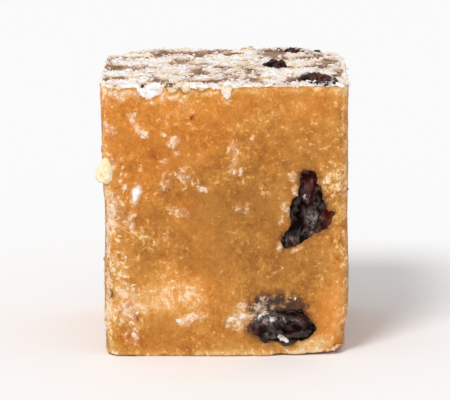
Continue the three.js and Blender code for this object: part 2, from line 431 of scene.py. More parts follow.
def distanceTo(raisin, flat):
    # how far each point of the face lies outside the raisin's rim, less than 0 inside
    near = np.full(len(flat), np.inf)
    inside = np.zeros(len(flat), bool)
    for a, b in zip(raisin["rim"], np.roll(raisin["rim"], -1, 0)):
        side = b - a
        share = np.clip((flat - a) @ side / (side @ side), 0, 1)
        near = np.minimum(near, apart(flat - a, share[:, None] * side))
        spans = (a[1] > flat[:, 1]) != (b[1] > flat[:, 1])
        if a[1] != b[1]:
            inside ^= spans & (flat[:, 0] < a[0] + (flat[:, 1] - a[1]) * side[0] / side[1])
    return np.where(inside, -near, near)


print("raisins read:", len(raisins))

block = {
    "gridStep": 0.225 * mm,
    "cornerRadius": 1.5 * mm,
    "rimRadius": 0.7 * mm,
    "footRadius": 0.3 * mm,
    "footTaper": {"right": 0.012, "left": 0.04, "ends": 0.02},
    "swell": 0.13 * mm,
    "topSwell": 0.4,  # share of it on the top
    "broadWave": 210,  # radians a metre
    "narrowWave": 400,
    "phases": {"front": 4.4, "back": 1.8, "right": 0.7, "left": 2.9, "top": 5.3},
}


def blockGrid(size):
    # a lattice over the six faces, with the quads and their places on the bake map
    counts = np.round(size / block["gridStep"]).astype(int)
    shell = np.zeros(counts + 1, bool)
    for axis in range(3):
        for end in (0, -1):
            np.moveaxis(shell, axis, 0)[end] = True
    ids = np.full(counts + 1, -1)
    ids[shell] = np.arange(shell.sum())
    points = (np.argwhere(shell) / counts - 0.5) * size
    quads, places = [], []
    for number, face in enumerate(faces.values()):
        axes = [int(np.abs(face[way]).argmax()) for way in ("across", "up", "out")]
        sheet = ids.transpose(axes)
        for k, way in enumerate(("across", "up")):
            if face[way].sum() < 0:
                sheet = np.flip(sheet, k)
        sheet = sheet[:, :, -1 if face["out"].sum() > 0 else 0]
        wide, high = np.array(sheet.shape) - 1
        around = [sheet[:-1, :-1], sheet[1:, :-1], sheet[1:, 1:], sheet[:-1, 1:]]
        quads.append(np.stack(around, -1).reshape(-1, 4))
        i, j = np.meshgrid(np.arange(wide), np.arange(high), indexing="ij")
        corners = np.stack([np.stack([i + (x + 1) / 2, j + (y + 1) / 2], -1) for x, y in square], 2)
        cell = np.array([number % 3, number // 3])
        share = (0.01 + 0.98 * corners / (wide, high)) * (1 / 3, 1 / 2)
        places.append((cell * (1 / 3, 1 / 2) + share).reshape(-1, 4, 2))
    return points, np.concatenate(quads), np.concatenate(places)


def roundedBlock(points, size):
    half = size / 2
    radius = block["cornerRadius"]
    inner = np.clip(points[:, :2], radius - half[:2], half[:2] - radius)
    out = points[:, :2] - inner
    side = radius - np.abs(out).max(1)
    z = points[:, 2] + half[2]
    isTop = z > half[2]
    edge = np.where(isTop, block["rimRadius"], block["footRadius"])
    end = np.where(isTop, size[2] - z, z)
    bent = (side < edge) & (end < edge)
    corner = np.stack([edge - side, edge - end], 1)
    length = np.maximum(apart(corner), 1e-12)
    corner = corner / length[:, None] * corner.max(1)[:, None]
    side = np.where(bent, edge - corner[:, 0], side)
    end = np.where(bent, edge - corner[:, 1], end)
    length = np.maximum(apart(out), 1e-12)
    flat = inner + out / length[:, None] * (radius - side)[:, None]
    return np.column_stack([flat, np.where(isTop, size[2] - end, end)])


def swollen(s, t, phase):
    broad = np.sin(block["broadWave"] * s + phase) * np.cos(block["broadWave"] * t + 2 * phase)
    return block["swell"] * (broad + np.sin(block["narrowWave"] * (s - t) + 3 * phase) / 2)


def wornBlock(points, size):
    x, y, z = points.T
    taper = block["footTaper"]
    raised = 1 - z / size[2]
    narrow = 1 - np.where(x > 0, taper["right"], taper["left"]) * raised
    phases = block["phases"]
    phaseX = np.where(x > 0, phases["right"], phases["left"])
    phaseY = np.where(y > 0, phases["back"], phases["front"])
    return np.column_stack([
        x * narrow + 2 * x / size[0] * swollen(y, z, phaseX),
        y * (1 - taper["ends"] * raised) + 2 * y / size[1] * swollen(x, z, phaseY),
        z + z / size[2] * block["topSwell"] * swollen(x, y, phases["top"]),
    ])


low, high = (np.array(corner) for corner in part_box("fudge"))
sharp, quads, places = blockGrid(high - low)
points = wornBlock(roundedBlock(sharp, high - low), high - low)
points = low + (points - points.min(0)) * (high - low) / np.ptp(points, axis=0)
fudge = newPiece("fudgeBlock", points, quads.tolist(), fudgeMaterial)


def outwardOf(piece):
    ways = np.empty(len(piece.data.vertices) * 3)
    piece.data.vertex_normals.foreach_get("vector", ways)
    return ways.reshape(-1, 3)


normals = outwardOf(fudge)
print("block laid out:", len(points), "points")

# what each point of the block is told to do
marks = {key: np.zeros(len(points)) for key in
         ("lift", "sugar", "crust", "cover", "grainy", "tone", "warm", "stain")}
for face in faces.values():
    facing = ease(normals @ face["out"], 0.3, 0.85)
    face["ids"] = np.flatnonzero(facing > 0)
    face["weight"] = facing[face["ids"]]
    face["flat"] = np.stack([points[face["ids"]] @ face["across"], points[face["ids"]] @ face["up"]], 1)
rimHeight = points[:, 2].max()


def press(name, select=slice(None), **amounts):
    # adds to the marks of a face, or of some of its points
    face = faces[name]
    for key, amount in amounts.items():
        np.add.at(marks[key], face["ids"][select], amount * face["weight"][select])


# how far each whole face is pressed in, and the left one more towards its upper back corner
pressedIn = {"left": 0.14 * mm, "right": 0.1 * mm, "top": 0.1 * mm}
leaning = {"depth": 0.7 * mm, "from": -9 * mm, "to": 10 * mm, "fromHeight": 0.4}
for name, depth in pressedIn.items():
    press(name, lift=-depth)
backward, upward = -faces["left"]["flat"][:, 0], faces["left"]["flat"][:, 1]
press("left", lift=-leaning["depth"] * ease(backward, leaning["from"], leaning["to"])
      * ease(upward, leaning["fromHeight"] * rimHeight, rimHeight))

# slow, middling and fine unevenness of the faces: height, size and octaves
unevenness = [(0.07 * mm, 4.5 * mm, 3), (0.035 * mm, 1.5 * mm, 3), (0.016 * mm, 0.6 * mm, 2)]
for seed, (height, size, octaves) in enumerate(unevenness):
    marks["lift"] += height * grain(points, size, 1 + seed, octaves)
print("unevenness done")

# raisin sockets: the fudge rises to a small lip and dips under each raisin. Just outside each rim a narrow
# dark ring is partly raisin stain and partly painted shade where the fudge meets the raisin.
socket = {"lip": 0.1 * mm, "lipWidth": 0.3 * mm, "slope": 1.6, "deepest": 1.2 * mm, "stain": 0.7,
          "stainReach": 0.45 * mm, "reach": 8 * mm}
for seed, (name, raisin) in enumerate(raisins.items()):
    face = faces[raisin["face"]]
    close = np.flatnonzero(apart(face["flat"], raisin["middle"]) < socket["reach"])
    away = distanceTo(raisin, face["flat"][close])
    rough = grain(points[face["ids"][close]], 0.9 * mm, 40 + seed)
    lip = socket["lip"] * bell(away - socket["lipWidth"], socket["lipWidth"]) * (0.6 + 0.8 * rough)
    dip = np.clip(-away * socket["slope"], 0, socket["deepest"])
    # partly painted shade: the ring darkens the seam where the fudge meets the raisin
    stain = socket["stain"] * bell(np.maximum(away, 0), socket["stainReach"]) * (0.5 + rough)
    press(raisin["face"], close, lift=np.where(away > 0, lip, 0) - dip, stain=stain)
print("sockets pressed")

# the sugar crust on top: plates with cracks between, creeping over the rim
crust = {
    "plate": 0.17 * mm,  # height of a plate
    "plateSize": 2.6 * mm,
    "flake": 0.08 * mm,
    "creep": 0.2 * mm,  # how far it usually hangs over the rim
    "hungLift": 0.13 * mm,  # how thick it is there
    # the pale line below the crust is a painted highlight just under the rounded rim
    "underLine": 0.75 * mm,  # how far below it a pale yellowish line runs
    # where it hangs lower over the front rim: place across, half width and depth in mm, and how white
    "frontLobes": [(-8.2, 1.5, 1.35, 0.6), (-5.7, 0.75, 0.7, -0.15), (-4.3, 0.6, 0.8, -0.1),
                   (-2.7, 0.8, 0.4, -0.1), (0.15, 0.6, 1.5, -0.1)],
    "thinFrom": 0.8 * mm,  # along the front the rim is nearly bare beyond here
    # whiter and barer places: across, back, half width and half depth in mm, and how much
    "patches": [(-8.6, -6, 2.2, 3.2, 0.5), (-9.5, 3.5, 2.6, 2.4, 0.4), (-4.5, 9, 3.6, 1.3, -0.7),
                (1.5, 4.5, 3, 2.5, 0.35), (8.5, -3.6, 2.6, 2.2, 0.4), (-2.5, -9.5, 3, 1.4, -0.4)],
}
top = faces["top"]
topPoints = points[top["ids"]]
plates = grain(topPoints * (1, 0.8, 1), crust["plateSize"], 11, 4)
flakes = grain(topPoints, 0.9 * mm, 12, 4)
cover = ease(plates + 0.5 * flakes, -0.35, 0.2)
for *place, more in crust["patches"]:
    cover += more * blot(top["flat"], *place)
press("top", lift=crust["plate"] * (cover - 0.6) + crust["flake"] * flakes, cover=cover, crust=1)

for number, name in enumerate(cutFaces):
    face = faces[name]
    across, up = face["flat"].T
    line = np.column_stack([across, 0 * across, 0 * across])
    hang = crust["creep"] * (1.0 + 2.2 * grain(line, 1.8 * mm, 20 + number, 4))
    white = 0 * hang
    if name == "front":
        hang = hang - 2 * crust["creep"] * ease(across, crust["thinFrom"], crust["thinFrom"] + 1 * mm)
        edge = 1 + 0.3 * grain(line, 0.9 * mm, 24, 3)
        for place, half, depth, whiter in crust["frontLobes"]:
            share = 1 - ((across / mm - place) / half) ** 2
            hang = np.maximum(hang, depth * mm * np.sqrt(np.clip(share, 0, 1)) * edge)
            white = white + whiter * ease(share, -0.6, 0.5)
    below = rimHeight - up
    broken = grain(points[face["ids"]], 0.7 * mm, 28 + number, 3)
    hung = ease(hang + block["rimRadius"] * 0.5 + 0.12 * mm * broken - below, -0.12 * mm, 0.2 * mm)
    press(name, crust=hung, cover=(0.7 + white) * hung, grainy=hung, lift=crust["hungLift"] * hung)
    # painted highlight: a pale line just under the rounded rim
    line = bell(below - hang - crust["underLine"], 0.4 * mm) * (0.7 + broken)
    press(name, tone=0.3 * line, warm=-0.3 * line)
print("crust laid")

# broad tones of the front: across from the middle and up from the foot, half width and half height in mm,
# how much lighter and how much more orange
# the broad band along the top (28.6 up) and the narrow bands up the side edges (-12, -12.8 and 12.6 across)
# are painted light glowing through the fudge
frontTones = [
    (-1, 28.6, 16, 3.2, 0.12, 0.5), (1.8, 4.3, 1.5, 1.6, 0.16, -0.3), (-9.5, 20.5, 5, 8, 0.02, 0.45),
    (-4, 24.5, 5, 4, 0.02, 0.3), (3.5, 13, 7, 7, -0.06, -0.45), (-6, 6.6, 6, 3.6, 0.22, 0.35),
    (-12, 12, 1.9, 9, 0.13, 0.1), (12.6, 7.2, 1.5, 7, 0.22, 0.5), (12.6, 21.5, 1.5, 7, 0.16, -0.1),
    (9.2, 0.9, 3, 1.5, 0.42, -0.4), (2, 0.6, 5, 1, 0.2, -0.2), (-9, 0.5, 4, 0.9, 0.08, 0.3),
    (-5.6, 7.4, 4, 2.2, 0.22, 0.3), (-12.8, 4.5, 0.9, 5, 0.2, -0.5), (-10.6, 6.2, 1.7, 2.2, 0.06, 0.2),
    (-9.2, 1.9, 1.4, 0.8, -0.22, 0.3), (11, 5, 2.4, 3, 0.08, 0.4),
]


def toned(name, x, z, wide, tall, lighter, warmer):
    shape = blot(faces[name]["flat"], x, z, wide, tall)
    press(name, tone=lighter * shape, warm=warmer * shape)


for row in frontTones:
    toned("front", *row)

# scuffs on the front: across from the middle and up from the foot, width and height in mm, turn in degrees,
# how sugary, and, where a row goes on, how grainy and ragged, and how much crust lies there and how white
frontScuffs = [
    (-12, 29.3, 4.6, 1.8, -4, 0.5), (-6, 29, 4, 1, -4, 0.3),
    (-10.2, 26.7, 0.8, 1.9, 22, 1, 0, 0.5), (-9.6, 25.7, 0.8, 1.3, 30, 0.9, 0, 0.5),
    (-8.9, 25.1, 1.8, 0.8, -30, 1.05, 0, 0.5), (-6.6, 26.6, 1.8, 0.8, -5, 0.22),
    (-6.9, 25.2, 0.9, 0.7, 0, 0.5), (-5.5, 24.1, 2, 1.1, -10, 0.85), (-5.5, 23, 1, 1.6, 0, 0.55),
    (-7, 22, 1.6, 0.7, 5, 0.4), (-4.5, 20.2, 4.2, 2.2, -15, 0.4, 0.7),
    (-6.6, 18.9, 1.6, 2, 0, 0.45, 0.4), (-2.6, 18.9, 1.6, 0.8, -15, 1.25, 0, 0.4),
    (-9.8, 18.5, 1.3, 3, -10, 1, 0, 0.3, 0.75, 1.6), (-10.4, 15.4, 0.9, 3.2, -5, 0.6, 0.4),
    (-12, 16.2, 3.4, 6, 0, 0.3, 0.9), (-13.1, 15, 1.5, 10, 0, 0.35),
    (0.9, 23, 1.3, 4, 8, 0.5, 0.5), (0.9, 21, 2.2, 1.4, 10, 0.5, 0.6), (2.8, 24.6, 1.2, 1.2, 0, 0.45),
    (1.6, 16.6, 2, 1.2, 15, 0.4, 0.4), (4.2, 18.6, 3.8, 1.8, 0, 0.12, 0.8),
    (-5, 16.3, 3, 1.1, -20, 0.5, 0.8, 0.6), (-6.3, 14, 2.4, 2, 0, 0.2, 0.5),
    (-8.6, 13, 3, 5, 10, 0, 0.8), (-9, 22, 5, 3, 0, 0, 0.5),
    (-5.4, 7, 6.6, 2.6, 10, 0, 0.35), (-3.7, 4.3, 3.2, 1.3, 10, 1, 0.3, 0.5),
    (-10.9, 5.8, 3.6, 4, 0, 0.35, 0.9), (-10.4, 5, 2.6, 3, 15, 0.35), (-11, 7.6, 1.8, 1.6, 0, 0.45),
    (-10.2, 2.4, 2, 1.8, 0, 0.45, 0.6), (-12, 10.2, 2.6, 6, 0, 0.2, 1),
    (-12.6, 17, 2, 5, 0, 0.35, 0.4), (-12.4, 21.5, 2.2, 3, 0, 0.45, 0.3),
    (-12.6, 25.4, 2, 2.4, 0, 0.6), (1.6, 4.2, 3, 2.8, 20, 0.6),
    (1.5, 4.2, 3.4, 2.2, 15, 0, 0, 0.7, 0.55, 0.9), (-10.4, 5.2, 2.8, 3.4, 10, 0, 0, 0.9, 0.5, 1.05),
    (4.4, 5.7, 2.6, 2.4, -60, 0.6, 0.5), (7, 6.3, 3.4, 1.4, 0, 0.3, 0.6), (7.6, 19.2, 1.2, 3.6, 6, 0.75),
    (6.9, 16.3, 0.6, 2.4, 14, 0.6), (6.2, 15.8, 0.7, 3, -6, 0.4), (6.1, 12.5, 0.9, 1, 0, 0.9),
    (7.9, 12.1, 2.4, 0.5, 22, 0.65), (11.3, 17.6, 2.2, 1, 25, 0.4), (11.9, 19.4, 2.6, 4.4, 0, 0.1, 1.2),
    (12.3, 12, 1.4, 6, 0, 0, 0.7), (5.5, 9.5, 2.3, 0.35, 30, 0.45), (9.9, 24, 4, 4, 0, 0, 0.3),
    (9.8, 0.9, 4.6, 1.6, 8, 0.3), (2.6, 4.6, 2.8, 2.4, 10, 0.55), (4.4, 6.2, 2.6, 1.8, 0, 0.3),
    (11.4, 6, 3, 7, 0, 0, -0.6), (10.9, 18.6, 2.4, 5, 0, 0, 1),
]
scuffLift = 0.06 * mm


def scuff(name, seed, x, z, wide, tall, turn, sugar, grainy=0, ragged=0.9, crusted=0, white=0):
    face = faces[name]
    turn = math.radians(turn)
    offset = face["flat"] - np.array((x, z)) * mm
    along = offset @ (math.cos(turn), math.sin(turn)) / (wide / 2 * mm)
    beside = offset @ (-math.sin(turn), math.cos(turn)) / (tall / 2 * mm)
    far = np.hypot(along, beside)
    near = np.flatnonzero(far < 1.9)
    broken = grain(points[face["ids"][near]], 1.0 * mm, seed, 4)
    shape = ease(1.3 - far[near] + ragged * broken, 0, 1.1)
    press(name, near, sugar=sugar * shape, grainy=grainy * shape, crust=crusted * shape,
          cover=white * shape, lift=scuffLift * (sugar or 0.2) * shape)


for seed, row in enumerate(frontScuffs):
    scuff("front", 60 + seed, *row)

# the other faces are toned and scuffed alike, at random
otherFaces = {"tones": 9, "toneSize": (2, 6), "lighter": (-0.08, 0.16), "warmer": (-0.4, 0.6), "scuffs": 30,
              "scuffWide": (0.8, 4.0), "scuffTall": (0.8, 3.5), "turn": (-40, 40), "sugar": (0.1, 0.9),
              "grainy": (0, 0.8)}
for name in ("back", "right", "left", "foot"):
    flat = faces[name]["flat"]
    span = flat.min(0) / mm, flat.max(0) / mm
    for number in range(otherFaces["tones"]):
        toned(name, *dice.uniform(*span), *dice.uniform(*otherFaces["toneSize"], 2),
              dice.uniform(*otherFaces["lighter"]), dice.uniform(*otherFaces["warmer"]))
    for number in range(otherFaces["scuffs"]):
        place = dice.uniform(*span)
        wide, tall, turn, sugar, grainy = (dice.uniform(*otherFaces[key]) for key in
                                           ("scuffWide", "scuffTall", "turn", "sugar", "grainy"))
        scuff(name, 110 + number, *place, wide, tall, turn, sugar ** 1.5, grainy)
print("scuffs laid")

# a middle brown, warmer and paler under the rim where painted light glows through from the top; the second
# of each pair is how much it varies
allOver = {"tone": (0.42, 0.07), "warm": (0.3, 0.35), "grainy": (0, 0.5)}
underRim = {"tone": 0.13, "warm": 0.4}
for seed, (key, size) in enumerate((("tone", 6 * mm), ("warm", 8 * mm), ("grainy", 5 * mm))):
    middle, varies = allOver[key]
    marks[key] += middle + varies * grain(points, size, 31 + seed)
# painted light: the back and sides warmer and paler just under the rim
for name in ("back", "right", "left"):
    high = ease(faces[name]["flat"][:, 1], 0.75 * rimHeight, 0.95 * rimHeight)
    press(name, tone=underRim["tone"] * high, warm=underRim["warm"] * high)

# dusky stains and reddish spots on the front: across, up, half width and half height in mm,
# then stain, warm, tone and lift
frontSpots = [
    (5.7, 5.9, 2.4, 1.35, 1.4, -0.2, -0.08, 0), (7.3, 5.6, 2, 0.8, 1.1, 0, -0.12, 0),
    (3.8, 5.6, 1.4, 1.2, 0.8, 0, 0, 0), (1.8, 4, 1.6, 0.9, 0.25, 0, 0, 0),
    (2.9, 2.9, 0.8, 0.7, 0.6, 0, 0, 0), (-10.3, 5.9, 0.4, 0.25, 0.2, 0.4, -0.3, -0.1),
    (-9.6, 4.3, 0.25, 0.4, 0.2, 0.4, -0.3, -0.1), (-8.6, 20.6, 0.45, 0.4, 0, 1.6, 0.1, 0),
    (-10.8, 2.1, 0.8, 0.75, 0.25, 1.4, -0.1, -0.22), (-12.8, 7, 0.45, 0.6, 0.9, 0, -0.4, -0.3),
    (-3.6, 26.9, 0.25, 0.22, 0.2, 0.4, -0.5, -0.08), (-6.3, 18.8, 0.28, 0.22, 0.1, 0.4, -0.4, -0.08),
    (-5.4, 17.9, 1.6, 0.5, 0, 0, -0.12, -0.05), (-8.2, 22.6, 1.8, 1.2, 0, 0, -0.1, -0.05),
]
mottled = np.clip(1 + 0.7 * grain(points[faces["front"]["ids"]], 0.8 * mm, 170, 3), 0, 2)
for *place, stain, warmer, lighter, lift in frontSpots:
    shape = blot(faces["front"]["flat"], *place) * mottled
    press("front", stain=stain * shape, warm=warmer * shape, tone=lighter * shape, lift=lift * mm * shape)

# pits where bubbles and crumbs broke out, their hollows darkened with painted shade
pits = {"count": 60, "radius": (0.12 * mm, 0.4 * mm), "depth": 0.4, "darker": 0.1}
for name in (*cutFaces, "foot"):
    flat = faces[name]["flat"]
    for number in range(pits["count"]):
        centre = dice.uniform(flat.min(0), flat.max(0))
        radius = dice.uniform(*pits["radius"])
        far = apart(flat, centre)
        near = np.flatnonzero(far < 2.5 * radius)
        pit = bell(far[near], radius)
        # painted shade: each pit darker in its hollow
        press(name, near, lift=-pits["depth"] * radius * pit, tone=-pits["darker"] * pit)

# nibbled upright edges, paler with painted light glowing through them, and a ragged burr round the foot,
# paler with a painted highlight where it catches the light
edges = {"nibble": 0.2 * mm, "grainy": 0.4, "paler": 0.09, "burr": 0.15 * mm, "burrHeight": 0.38 * mm,
         "bare": (13.2, -12.2, 6.0)}  # where the sugar is rubbed off
# worn corners: across, back and up, how far the wear reaches and how deep it goes, in mm
wornCorners = [
    (13.7, -12.2, -0.6, 3.3, 1.1), (-13.2, -11.9, -0.2, 1.3, 0.25), (6.2, -12.3, 0, 0.8, 0.45),
    (13.6, 12, 0, 2, 0.6), (-13.8, 12.4, 31, 3.6, 1.4), (13.8, 12.4, 31, 3.2, 1.1),
    (-14, -12.4, 31, 1.4, 0.35),
]
onEdge = 1 - ease(np.abs(normals[:, :2]).max(1), 0.8, 0.985)
upright = onEdge * ease(0.9 - np.abs(normals[:, 2]), 0, 0.5)
chipped = grain(points, 1.4 * mm, 51, 4)
marks["lift"] -= edges["nibble"] * upright * np.clip(chipped, -0.4, 1.2)
marks["sugar"] += upright * np.clip(0.04 + 0.7 * grain(points, 2.4 * mm, 53, 4), 0, 0.8)
marks["sugar"] *= 1 - 0.8 * bell(apart(points / mm, edges["bare"]), 6)
marks["grainy"] += edges["grainy"] * upright
# painted light: the upright edges paler where light glows through the thin fudge
marks["tone"] += edges["paler"] * upright
burr = bell(points[:, 2] - 0.2 * mm, edges["burrHeight"]) * (1 - np.abs(normals[:, 2]))
ragged = grain(points, 1.6 * mm, 52, 4)
marks["lift"] += edges["burr"] * burr * (0.4 + ragged)
# painted highlight: the burr lighter and less orange where it catches the light
marks["tone"] += burr * (0.22 + 0.14 * ragged)
marks["warm"] -= 0.4 * burr
for *corner, reach, depth in wornCorners:
    far = apart(points / mm, corner)
    marks["lift"] -= depth * mm * bell(far, reach) * np.clip(1 + 0.3 * chipped, 0.5, 1.5)

points = points + normals * marks["lift"][:, None]
points[:, 2] = np.maximum(points[:, 2], 0)
fudge.data.vertices.foreach_set("co", points.ravel())
fudge.data.update()
for key, value in marks.items():
    if key != "lift":
        addValues(fudge, key, value)
bakeMap = fudge.data.uv_layers.new(name="OFBake")
bakeMap.uv.foreach_set("vector", places.ravel())
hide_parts("fudge")
normals = outwardOf(fudge)
print("block finished")

raisinRelief = {
    "rimDepth": 0.2 * mm,  # how far under the fudge its rim starts
    "bowl": 1.2 * mm,
    "foldLength": 2.4 * mm,
    "foldWidth": 1.0 * mm,
    "bend": 0.35 * mm,  # how far the folds stray from straight
}
# on each face, how high a raisin's folds stand and how deep it is torn, in mm, and how sugared it is
raisinOn = {"front": (0.5, 0.45, 0.05), "top": (0.32, 0.1, 0.2), "back": (0.3, 0.35, 0.15),
            "right": (0.25, 0.4, 0.2), "left": (0.25, 0.4, 0.2), "foot": (0.2, 0.3, 0.1)}
# places on a raisin and what they carry: across, up, half width and half height in mm, and how much
raisinSpots = {
    "raisin_front_upper": {
        # the grey spots on this raisin are a painted sheen on its middle
        "dustAndSheen": [(9.5, 15.6, 0.75, 0.9, 1.5), (8.9, 17.9, 0.4, 0.35, 1.4), (7.4, 13.3, 0.6, 0.4, 0.8),
                 (9.9, 13.9, 1.2, 0.35, 0.7), (8, 16, 0.9, 2, -0.4)],
        "red": [(11.5, 15.5, 0.9, 1, 1.5), (10.4, 13.9, 1.2, 0.5, 0.9), (9.4, 19.5, 1.2, 1.5, 0.7),
                (7.6, 12.6, 0.8, 0.4, 0.9)],
        "sugar": [(8.75, 18, 0.25, 0.2, 1)],
    },
    "raisin_front_lower": {
        "dustAndSheen": [(3.9, 4.4, 1.2, 0.8, 2), (5.2, 4.2, 0.6, 0.6, 1.2), (6.4, 4, 0.4, 0.5, 1),
                 (8, 4, 0.8, 0.3, 0.6), (4.9, 2.3, 0.6, 0.6, 0.5), (6.9, 2.2, 1.2, 0.7, -0.3)],
        "red": [(3.6, 3, 0.9, 0.3, 0.6), (8.6, 3.9, 1, 0.6, 0.5)],
        # the three white spots low on the lower raisin, about 6 to 7 across and 2 up, are a painted glint;
        # the rest is sugar
        "sugar": [(3.6, 4.8, 1.2, 0.6, 0.75), (5.2, 4, 0.35, 0.3, 0.7), (6, 2.35, 0.3, 0.3, 0.95),
                  (6.4, 2, 0.32, 0.22, 1), (6.8, 1.75, 0.3, 0.2, 0.85), (6.4, 4.3, 0.2, 0.2, 0.6)],
    },
    "raisin_top_front": {"red": [(10.6, -8.8, 1.2, 2, 1.1)], "sugar": [(10.2, -8.6, 3, 3, 0.05)]},
    "raisin_top_back": {"sugar": [(9.8, 9.8, 1.2, 1.6, 0.6)], "red": [(9, 9.6, 1.2, 1, 0.8)]},
    "raisin_top_middle": {"sugar": [(5.9, 0, 1.8, 1.8, -0.35)], "red": [(6.3, 0.2, 1.2, 1, 0.7)]},
}


def raisinFolds(points, face, raisin, seed):
    # rounded ridges with sharp valleys, longer the way the raisin is long
    along = raisin["along"][0] * face["across"] + raisin["along"][1] * face["up"]
    bend = raisinRelief["bend"]
    lengthwise = points @ along + bend * grain(points, 1.3 * mm, 300 + seed, 2)
    sidewise = points @ np.cross(face["out"], along) + bend * grain(points, 1.3 * mm, 330 + seed, 2)
    bent = np.column_stack([lengthwise / raisinRelief["foldLength"], sidewise / raisinRelief["foldWidth"],
                            0 * lengthwise])
    ridges = np.abs(grain(bent, 1, 200 + seed, 2)) ** 0.8
    creases = np.abs(grain(points, 0.6 * mm, 220 + seed, 3))
    return np.clip(1.5 * ridges + 0.6 * creases, 0, 1.4) - 0.45


def makeRaisinPiece(name, raisin, seed):
    face = faces[raisin["face"]]
    around, rings = raisinShape["around"], raisinShape["rings"]
    circle = raisin["rim"] - raisin["middle"]
    shell = np.repeat(np.linspace(-1, 1, rings + 1), around)  # -1 at the buried end, 0 at the rim
    slope = shell * math.pi / 2
    flat = raisin["middle"] + np.tile(circle, (rings + 1, 1)) * np.maximum(np.cos(slope), 0.003)[:, None]
    dome = raisin["proud"] + raisinRelief["rimDepth"] - raisinShape["sink"]
    level = np.where(shell > 0, dome, raisinRelief["bowl"]) * np.sin(slope) - raisinRelief["rimDepth"]
    base = flat[:, :1] * face["across"] + flat[:, 1:] * face["up"]
    points = base + (raisin["level"] + level)[:, None] * face["out"]
    folds = raisinFolds(points, face, raisin, seed)
    shown = ease(shell, -0.1, 0.25)
    near = np.abs(distanceTo(raisin, face["flat"]) - 0.7 * mm) < 0.4 * mm
    points = points + marks["lift"][face["ids"][near]].mean() * face["out"]
    fold, torn, sugar = raisinOn[raisin["face"]]
    hollow = torn * mm * ease(grain(points, 2.2 * mm, 240 + seed, 2), -0.1, 0.5)
    rise = fold * mm * folds - hollow * ease(shell, 0.1, 0.5)
    points = points + (shown * rise)[:, None] * face["out"]
    points[:, 2] = np.maximum(points[:, 2], 0.02 * mm)
    skin = name.replace("raisin_", "raisinSkin_")
    piece = newPiece(skin, points, stackedSides(around, rings), raisinMaterial)
    values = {
        "ridge": folds + 0.3,
        "dustAndSheen": 0.3 * ease(grain(points, 1.5 * mm, 260 + seed, 3), 0.1, 0.7),
        "sugar": sugar + 0.25 * grain(points, 1.4 * mm, 280 + seed, 2),
        "red": 0.25 * ease(grain(points, 1.9 * mm, 290 + seed, 2), 0.0, 0.6),
    }
    for key, value in values.items():
        for *place, amount in raisinSpots.get(name, {}).get(key, []):
            value = value + amount * blot(flat, *place)
        addValues(piece, key, value)
    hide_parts(name)


for seed, (name, raisin) in enumerate(raisins.items()):
    makeRaisinPiece(name, raisin, seed)
print("raisins made")


def turns(count, tilt):
    # random turns: any spin about z, then a lean of up to tilt radians
    spin, toward = dice.uniform(0, 2 * math.pi, (2, count))
    lean = tilt * np.sqrt(dice.uniform(0, 1, count))
    axis = np.stack([np.cos(toward), np.sin(toward), 0 * toward], 1)
    return about(axis, lean) @ about(np.tile((0, 0, 1), (count, 1)), spin)


def about(axis, angle):
    # turns by an angle about a unit axis
    x, y, z = axis.T
    zero = 0 * x
    cross = np.array([[zero, -z, y], [z, zero, -x], [-y, x, zero]]).transpose(2, 0, 1)
    sine, rest = np.sin(angle)[:, None, None], 1 - np.cos(angle)[:, None, None]
    return np.eye(3) + sine * cross + rest * (cross @ cross)


def standing(ways):
    # turns that bring z onto each way
    axis = np.cross((0, 0, 1), ways)
    length = apart(axis)
    axis = np.where(length[:, None] > 1e-6, axis / np.maximum(length, 1e-6)[:, None], (1, 0, 0))
    return about(axis, np.arctan2(length, ways[:, 2]))


def scatter(name, form, spots, ways, tilt, material, smooth=True, paler=0.0):
    # one piece made of many copies; a form is each copy's points about its own middle, and the sides of one
    shapes, sides = form
    count, corners = shapes.shape[:2]
    turned = standing(ways) @ turns(count, tilt)
    placed = spots[:, None] + np.einsum("nij,nkj->nki", turned, shapes)
    joined = [[p + copy * corners for p in side] for copy in range(count) for side in sides]
    piece = newPiece(name, placed.reshape(-1, 3), joined, material, smooth)
    addValues(piece, "shade", np.repeat(dice.uniform(0, 1, count) + paler, corners))
    return piece


def chosen(weights, count):
    weights = np.clip(weights, 0, None)
    return dice.choice(len(weights), count, p=weights / weights.sum())


# how clear of the raisins each point lies, as sugar mostly stays off them
offRaisins = np.ones(len(points))
for raisin in raisins.values():
    ids = faces[raisin["face"]]["ids"]
    away = distanceTo(raisin, faces[raisin["face"]]["flat"])
    offRaisins[ids] = np.minimum(offRaisins[ids], ease(away, -0.35 * mm, 0.1 * mm))
offRaisins[points[:, 2] < 0.3 * mm] = 0  # the block stands on its foot

sugary, crusty, grainy = (np.clip(marks[key], 0, 1) for key in ("sugar", "crust", "grainy"))
bare = marks["crust"] < 0.2


def drawnSizes(kind):
    # between the two sizes of a kind, most of them small
    small, large = kind["size"]
    return small + (large - small) * dice.uniform(0, 1, (kind["count"], 1)) ** kind["mostlySmall"]


# thin plates of sugar lying on the crust, and smaller creamier ones stuck to the scuffs
crustFlakes = {"count": 380, "size": (0.2 * mm, 0.75 * mm), "mostlySmall": 2,
               "thick": (0.04 * mm, 0.12 * mm), "narrow": 0.5, "tilt": 0.22, "paler": 0.25}
scuffFlakes = {"count": 560, "size": (0.09 * mm, 0.38 * mm), "mostlySmall": 2,
               "thick": (0.02 * mm, 0.05 * mm), "narrow": 0.3, "tilt": 0.2, "paler": -0.42}


